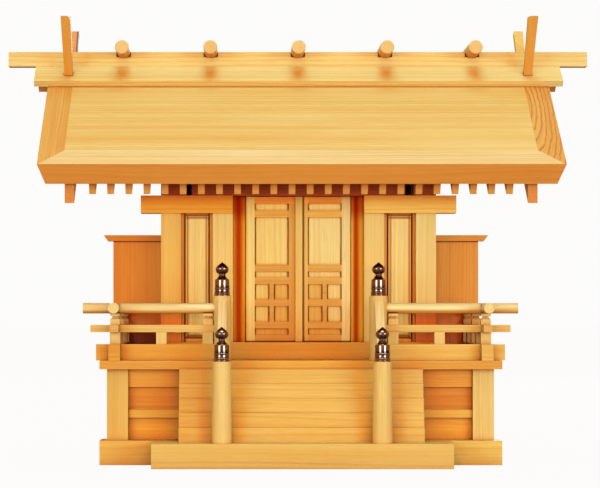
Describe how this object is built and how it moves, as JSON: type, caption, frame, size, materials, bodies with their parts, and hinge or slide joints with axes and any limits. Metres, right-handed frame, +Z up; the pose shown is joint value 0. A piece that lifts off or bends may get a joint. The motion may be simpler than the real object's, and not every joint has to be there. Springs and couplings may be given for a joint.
{
  "type": "kamidana",
  "caption": "Household shrine in plain cypress: stairs, a railed veranda on a raised base, a hall with swing doors, and a gabled roof with ridge logs and finials.",
  "frame": {"origin": "middle of the overall box, on the ground under the base", "axes": "+X to the viewer's right as one faces the doors, -Y to the front, +Z up"},
  "size_m": [0.6, 0.269, 0.4502],
  "materials": {
    "front_step": "bare planed cypress",
    "end_sills": "bare planed cypress",
    "side_sills": "bare planed cypress",
    "base_posts": "bare planed cypress",
    "base_rails": "bare planed cypress",
    "base_panels": "bare planed cypress",
    "veranda_floor": "bare planed cypress",
    "stair_step_1": "bare planed cypress",
    "stair_step_2": "bare planed cypress",
    "stair_step_3": "bare planed cypress",
    "stair_step_4": "bare planed cypress",
    "stair_step_5": "bare planed cypress",
    "front_rails": "bare planed cypress",
    "side_rails": "bare planed cypress",
    "rail_struts": "bare planed cypress",
    "upper_newels": "bare planed cypress",
    "lower_newels": "bare planed cypress",
    "newel_caps": "dark polished brass",
    "stair_handrails": "bare planed cypress",
    "hall_sill": "bare planed cypress",
    "hall_pillars": "bare planed cypress",
    "head_beams": "bare planed cypress",
    "bay_boards": "bare planed cypress",
    "bay_panels": "bare planed cypress",
    "door_jambs": "bare planed cypress",
    "door_lintel": "bare planed cypress",
    "upper_front_wall": "bare planed cypress",
    "left_wall": "bare planed cypress",
    "right_wall": "bare planed cypress",
    "back_wall": "bare planed cypress",
    "wing_screens": "bare planed cypress",
    "wing_caps": "bare planed cypress",
    "left_door": "bare planed cypress",
    "left_door_panels": "bare planed cypress",
    "meeting_strip": "bare planed cypress",
    "right_door": "bare planed cypress",
    "right_door_panels": "bare planed cypress",
    "roof_beams": "bare planed cypress",
    "front_rafters": "bare planed cypress",
    "back_rafters": "bare planed cypress",
    "front_roof_board": "bare planed cypress",
    "back_roof_board": "bare planed cypress",
    "eave_boards": "bare planed cypress",
    "front_verge_boards": "bare planed cypress",
    "back_verge_boards": "bare planed cypress",
    "front_bargeboards": "bare planed cypress",
    "back_bargeboards": "bare planed cypress",
    "front_ridge_board": "bare planed cypress",
    "back_ridge_board": "bare planed cypress",
    "ridge_beam": "bare planed cypress",
    "ridge_logs": "bare planed cypress",
    "finials": "bare planed cypress"
  },
  "bodies": {
    "shrine": {"front_step": "front_step", "end_sills": "end_sills", "side_sills": "side_sills", "base_posts": "base_posts", "base_rails": "base_rails", "base_panels": "base_panels", "veranda_floor": "veranda_floor", "stair_step_1": "stair_step_1", "stair_step_2": "stair_step_2", "stair_step_3": "stair_step_3", "stair_step_4": "stair_step_4", "stair_step_5": "stair_step_5", "front_rails": "front_rails", "side_rails": "side_rails", "rail_struts": "rail_struts", "upper_newels": "upper_newels", "lower_newels": "lower_newels", "newel_caps": "newel_caps", "stair_handrails": "stair_handrails", "hall_sill": "hall_sill", "hall_pillars": "hall_pillars", "head_beams": "head_beams", "bay_boards": "bay_boards", "bay_panels": "bay_panels", "door_jambs": "door_jambs", "door_lintel": "door_lintel", "upper_front_wall": "upper_front_wall", "left_wall": "left_wall", "right_wall": "right_wall", "back_wall": "back_wall", "wing_screens": "wing_screens", "wing_caps": "wing_caps", "roof_beams": "roof_beams", "front_rafters": "front_rafters", "back_rafters": "back_rafters", "front_roof_board": "front_roof_board", "back_roof_board": "back_roof_board", "eave_boards": "eave_boards", "front_verge_boards": "front_verge_boards", "back_verge_boards": "back_verge_boards", "front_bargeboards": "front_bargeboards", "back_bargeboards": "back_bargeboards", "front_ridge_board": "front_ridge_board", "back_ridge_board": "back_ridge_board", "ridge_beam": "ridge_beam", "ridge_logs": "ridge_logs", "finials": "finials"},
    "left_leaf": {"left_door": "left_door", "left_door_panels": "left_door_panels", "meeting_strip": "meeting_strip"},
    "right_leaf": {"right_door": "right_door", "right_door_panels": "right_door_panels"}
  },
  "joints": [
    {"name": "left_door_swing", "type": "hinge", "parent": "shrine", "child": "left_leaf", "pos_m": [-0.0524, 0.0183, 0.1956], "axis": [0, 0, -1], "range_deg": [0, 100]},
    {"name": "right_door_swing", "type": "hinge", "parent": "shrine", "child": "right_leaf", "pos_m": [0.0524, 0.0183, 0.1956], "axis": [0, 0, 1], "range_deg": [0, 100]}
  ]
}
